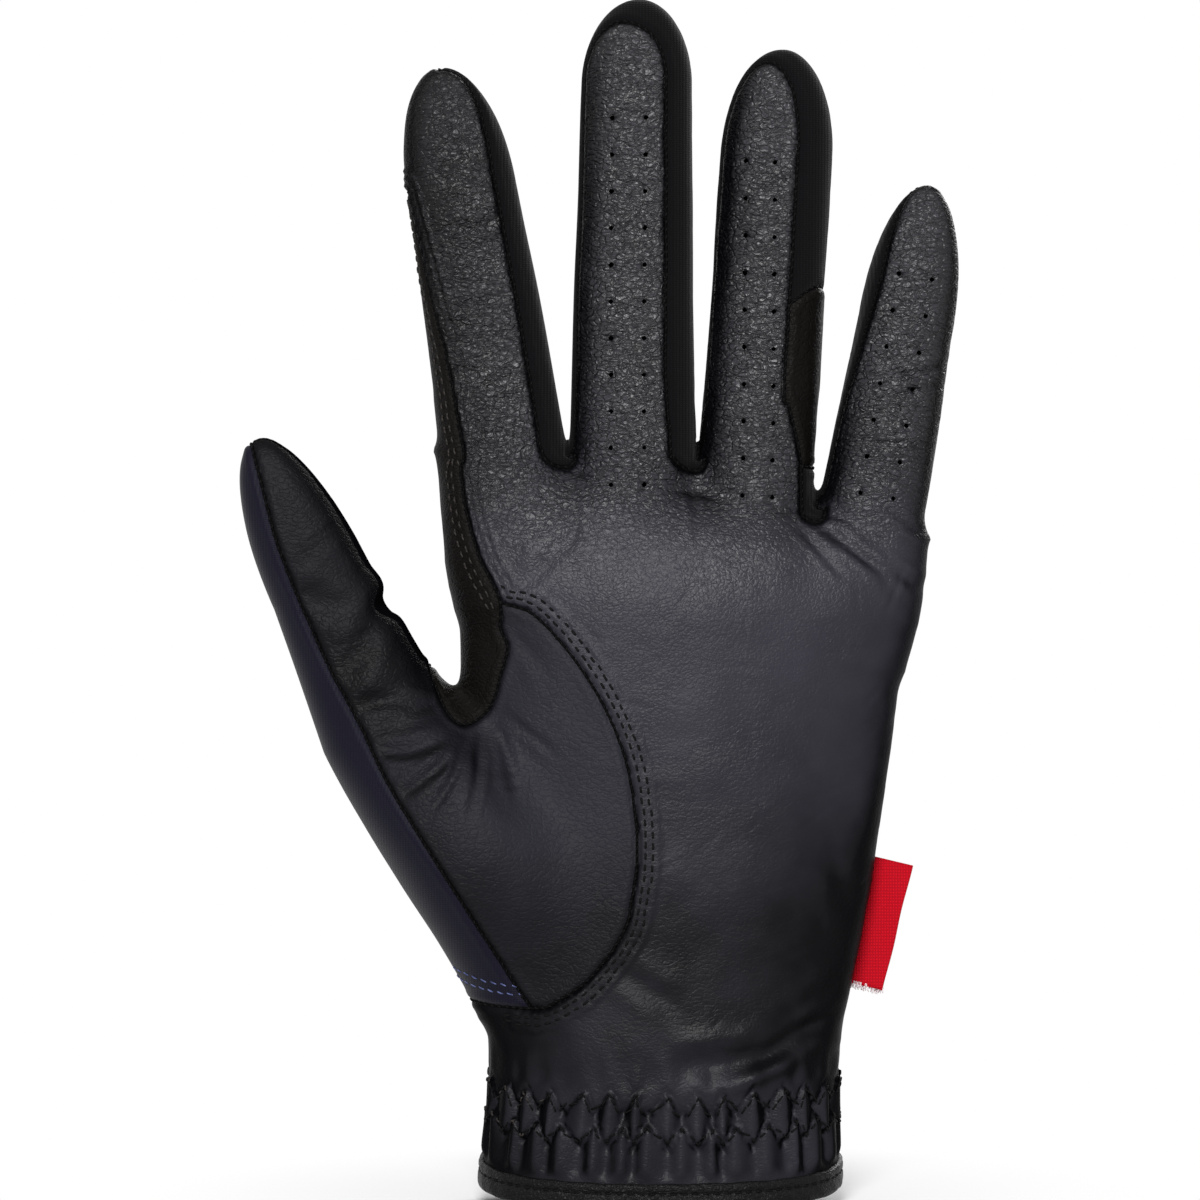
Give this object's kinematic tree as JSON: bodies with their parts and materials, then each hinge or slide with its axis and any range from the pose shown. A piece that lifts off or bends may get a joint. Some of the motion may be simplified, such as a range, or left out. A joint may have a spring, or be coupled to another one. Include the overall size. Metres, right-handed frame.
{
  "type": "golf glove",
  "caption": "Left-hand golf glove in black leather with stretch fabric finger walls, navy back, shirred elastic cuff and hook-and-loop wrist tab.",
  "frame": {"origin": "centre of the wrist opening, at the hem", "axes": "+Z from the hem towards the fingertips, -Y out of the palm side, +X towards the little finger"},
  "size_m": [0.1292, 0.0415, 0.2154],
  "materials": {
    "palm_leather": "fine-grained black sheepskin leather",
    "stretch_mesh": "matte black stretch knit",
    "back_fabric": "dark navy coated stretch fabric",
    "binding_leather": "folded black binding, stitched",
    "elastic": "woven black elastic tape",
    "hook_loop": "black hook and loop",
    "tab_leather": "black leather tab with stitched edge",
    "label_red": "red woven tape, bare"
  },
  "bodies": {
    "palm": {"palm_leather": "palm_leather", "thumb_inset_leather": "palm_leather", "thumb_inset_back": "back_fabric", "thumb_gusset": "palm_leather", "web_index_middle": "stretch_mesh", "web_middle_ring": "stretch_mesh", "web_ring_little": "stretch_mesh", "back_panel": "back_fabric", "slit_binding": "binding_leather", "hem_binding": "binding_leather", "cuff_elastic_lower": "elastic", "cuff_elastic_upper": "elastic", "loop_patch": "hook_loop", "tab_root": "tab_leather", "label_tab": "label_red"},
    "closure_tab_body": {"closure_tab": "tab_leather", "hook_patch": "hook_loop"},
    "index_finger": {"index_leather": "palm_leather", "index_sidewall": "stretch_mesh", "index_outer_strip": "palm_leather", "index_back": "back_fabric"},
    "middle_finger": {"middle_leather": "palm_leather", "middle_sidewall": "stretch_mesh", "middle_back": "back_fabric"},
    "ring_finger": {"ring_leather": "palm_leather", "ring_sidewall": "stretch_mesh", "ring_side_patch": "palm_leather", "ring_back": "back_fabric"},
    "little_finger": {"little_leather": "palm_leather", "little_sidewall": "stretch_mesh", "little_back": "back_fabric"},
    "thumb": {"thumb_leather": "palm_leather", "thumb_back": "back_fabric"}
  },
  "joints": [
    {"name": "index_flex", "type": "hinge", "parent": "palm", "child": "index_finger", "pos_m": [-0.0281, -0.0094, 0.1305], "axis": [0.9907, 0, 0.1357], "range_deg": [0, 80]},
    {"name": "middle_flex", "type": "hinge", "parent": "palm", "child": "middle_finger", "pos_m": [-0.0049, -0.0096, 0.1305], "axis": [1, 0, 0], "range_deg": [0, 80]},
    {"name": "ring_flex", "type": "hinge", "parent": "palm", "child": "ring_finger", "pos_m": [0.01735, -0.0091, 0.1293], "axis": [0.9978, 0, -0.0663], "range_deg": [0, 80]},
    {"name": "little_flex", "type": "hinge", "parent": "palm", "child": "little_finger", "pos_m": [0.0379, -0.0082, 0.1196], "axis": [0.9836, 0, -0.1805], "range_deg": [0, 80]},
    {"name": "thumb_flex", "type": "hinge", "parent": "palm", "child": "thumb", "pos_m": [-0.04632, -0.01371, 0.08382], "axis": [0.8682, 0.309, 0.3883], "range_deg": [0, 30]},
    {"name": "tab_open", "type": "hinge", "parent": "palm", "child": "closure_tab_body", "pos_m": [-0.00785, 0.02088, 0.0255], "axis": [0, 0, 1], "range_deg": [0, 135]}
  ]
}
